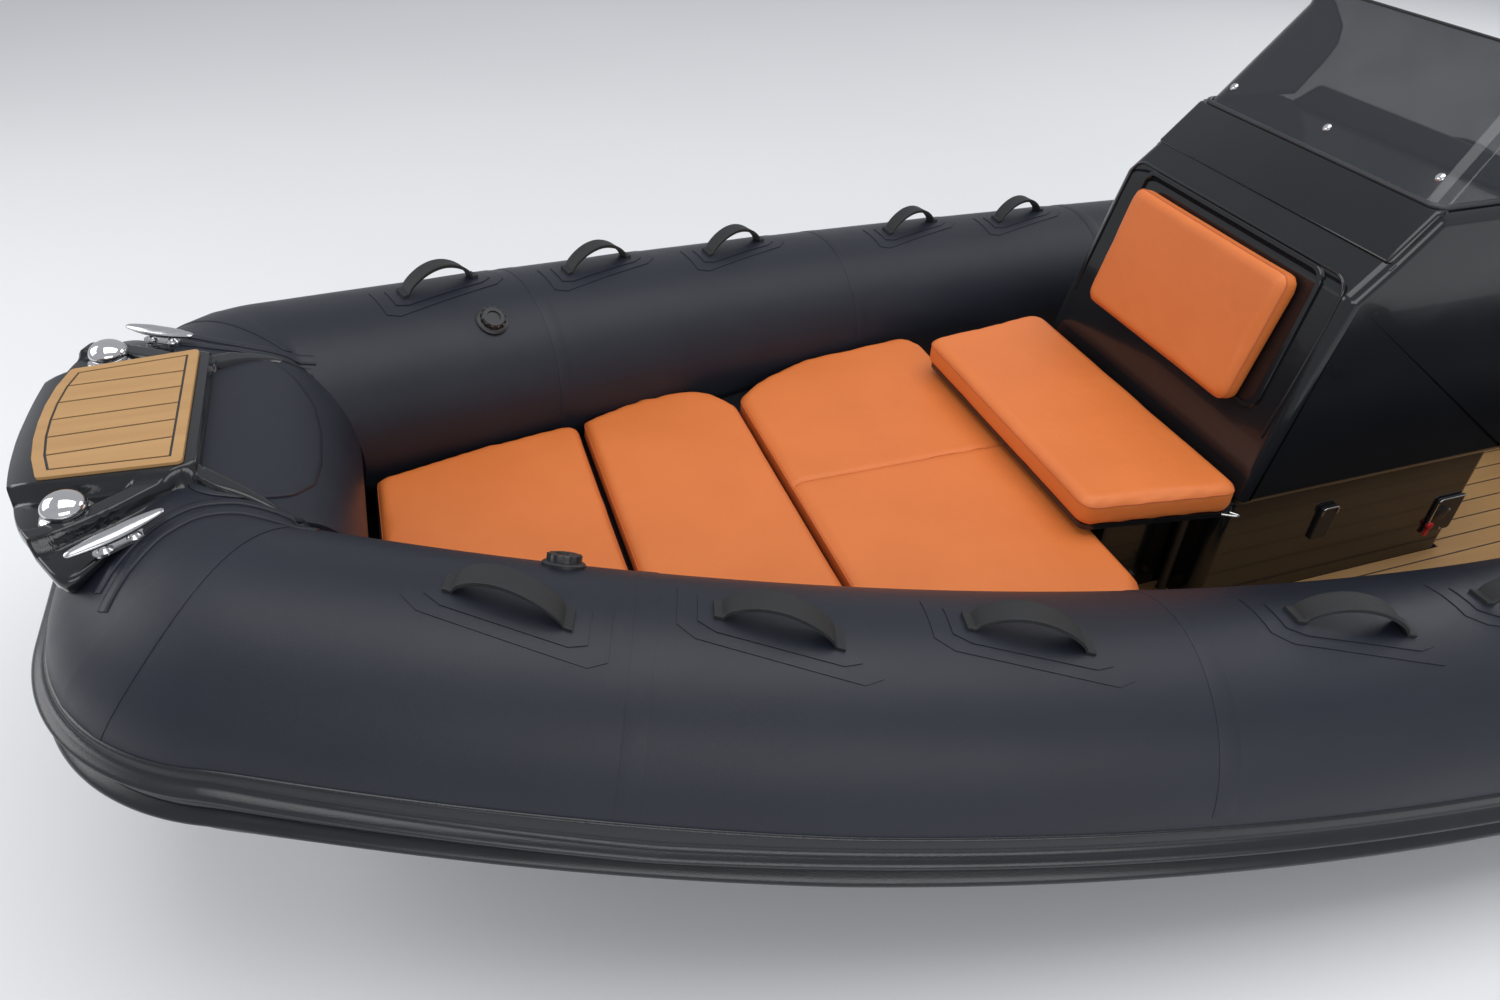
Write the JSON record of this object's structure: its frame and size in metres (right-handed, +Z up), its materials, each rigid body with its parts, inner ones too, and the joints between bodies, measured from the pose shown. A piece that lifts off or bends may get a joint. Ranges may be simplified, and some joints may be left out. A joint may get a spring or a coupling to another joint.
{
  "type": "inflatable rib boat",
  "caption": "Rigid inflatable boat with a centre console, cushioned bow deck, stern bench and a tilting, steering outboard.",
  "frame": {"origin": "amidships on the centreline, at the waterline", "axes": "+X towards the bow, +Y to port, +Z up"},
  "size_m": [6.375, 2.656, 2.3149],
  "materials": {
    "tube_fabric": "matte",
    "rubber": "ribbed",
    "gelcoat_white": "gloss",
    "gelcoat_black": "gloss",
    "vinyl_orange": "satin",
    "teak": "satin",
    "steel": "polished",
    "chrome": "polished",
    "screen": "smoked",
    "webbing": "woven",
    "plastic_black": "textured",
    "vinyl_black": "satin",
    "cowl_paint": "gloss",
    "engine_metal": "cast"
  },
  "bodies": {
    "boat": {"tube_port": "tube_fabric", "tube_starboard": "tube_fabric", "tube_bow": "tube_fabric", "rub_strake": "rubber", "hull": "gelcoat_white", "transom": "gelcoat_white", "stern_eyes": "steel", "stern_decks": "gelcoat_black", "motor_well": "gelcoat_black", "swim_platforms": "gelcoat_black", "bow_locker": "gelcoat_black", "bow_step": "gelcoat_black", "bow_eye": "steel", "bow_step_pad": "teak", "bow_cushion_1": "vinyl_orange", "bow_cushion_2": "vinyl_orange", "bow_cushion_3": "vinyl_orange", "console": "gelcoat_black", "console_seat_base": "gelcoat_black", "console_seat_struts": "steel", "console_backrest": "vinyl_orange", "windscreen": "screen", "dash": "plastic_black", "gauges": "chrome", "helm_seat_base": "gelcoat_black", "helm_seat_cushion": "vinyl_black", "helm_backrest": "vinyl_black", "stern_bench_base": "gelcoat_black", "stern_backrest": "vinyl_orange", "stern_bulkhead": "gelcoat_black", "clamp_bracket": "engine_metal", "throttle": "plastic_black", "battery_switch": "plastic_black", "handle_patches": "tube_fabric", "grab_handles": "webbing", "bow_cleats": "steel", "stern_cleats": "steel", "side_lights": "chrome", "arch": "steel", "teak_sole": "teak", "tube_valves": "plastic_black"},
    "seat_lid": {"console_seat_lid": "gelcoat_black", "console_seat_cushion": "vinyl_orange"},
    "bench_lid": {"stern_bench_lid": "gelcoat_black", "stern_bench_cushion": "vinyl_orange"},
    "wheel": {"steering_wheel": "plastic_black"},
    "tilt_unit": {"swivel_bracket": "engine_metal"},
    "engine": {"cowl": "cowl_paint", "engine_block": "engine_metal", "outboard_leg": "cowl_paint"},
    "screw": {"propeller": "steel"},
    "boarding_ladder": {"ladder": "steel"}
  },
  "joints": [
    {"name": "console_seat_lid_open", "type": "hinge", "parent": "boat", "child": "seat_lid", "pos_m": [0.8, 0, 0.441], "axis": [0, 1, 0], "range_deg": [0, 80]},
    {"name": "stern_bench_lid_open", "type": "hinge", "parent": "boat", "child": "bench_lid", "pos_m": [-1.64, 0, 0.411], "axis": [0, 1, 0], "range_deg": [0, 80]},
    {"name": "outboard_tilt", "type": "hinge", "parent": "boat", "child": "tilt_unit", "pos_m": [-2.88, 0, 0.23], "axis": [0, 1, 0], "range_deg": [0, 62]},
    {"name": "outboard_steer", "type": "hinge", "parent": "tilt_unit", "child": "engine", "pos_m": [-2.96, 0, 0.17], "axis": [0, 0, 1], "range_deg": [-30, 30]},
    {"name": "propeller_spin", "type": "hinge", "parent": "engine", "child": "screw", "pos_m": [-3.27, 0, -0.58], "axis": [1, 0, 0], "continuous": true},
    {"name": "steering_wheel_turn", "type": "hinge", "parent": "boat", "child": "wheel", "pos_m": [-0.545, 0, 0.965], "axis": [0.8829, 0, -0.4695], "range_deg": [-720, 720]},
    {"name": "ladder_fold", "type": "hinge", "parent": "boat", "child": "boarding_ladder", "pos_m": [-3.072, 0, 0.111], "axis": [0, -1, 0], "range_deg": [0, 250]}
  ],
  "couplings": [
    {"joint": "steering_wheel_turn", "follows": "outboard_steer", "ratio": 24}
  ]
}
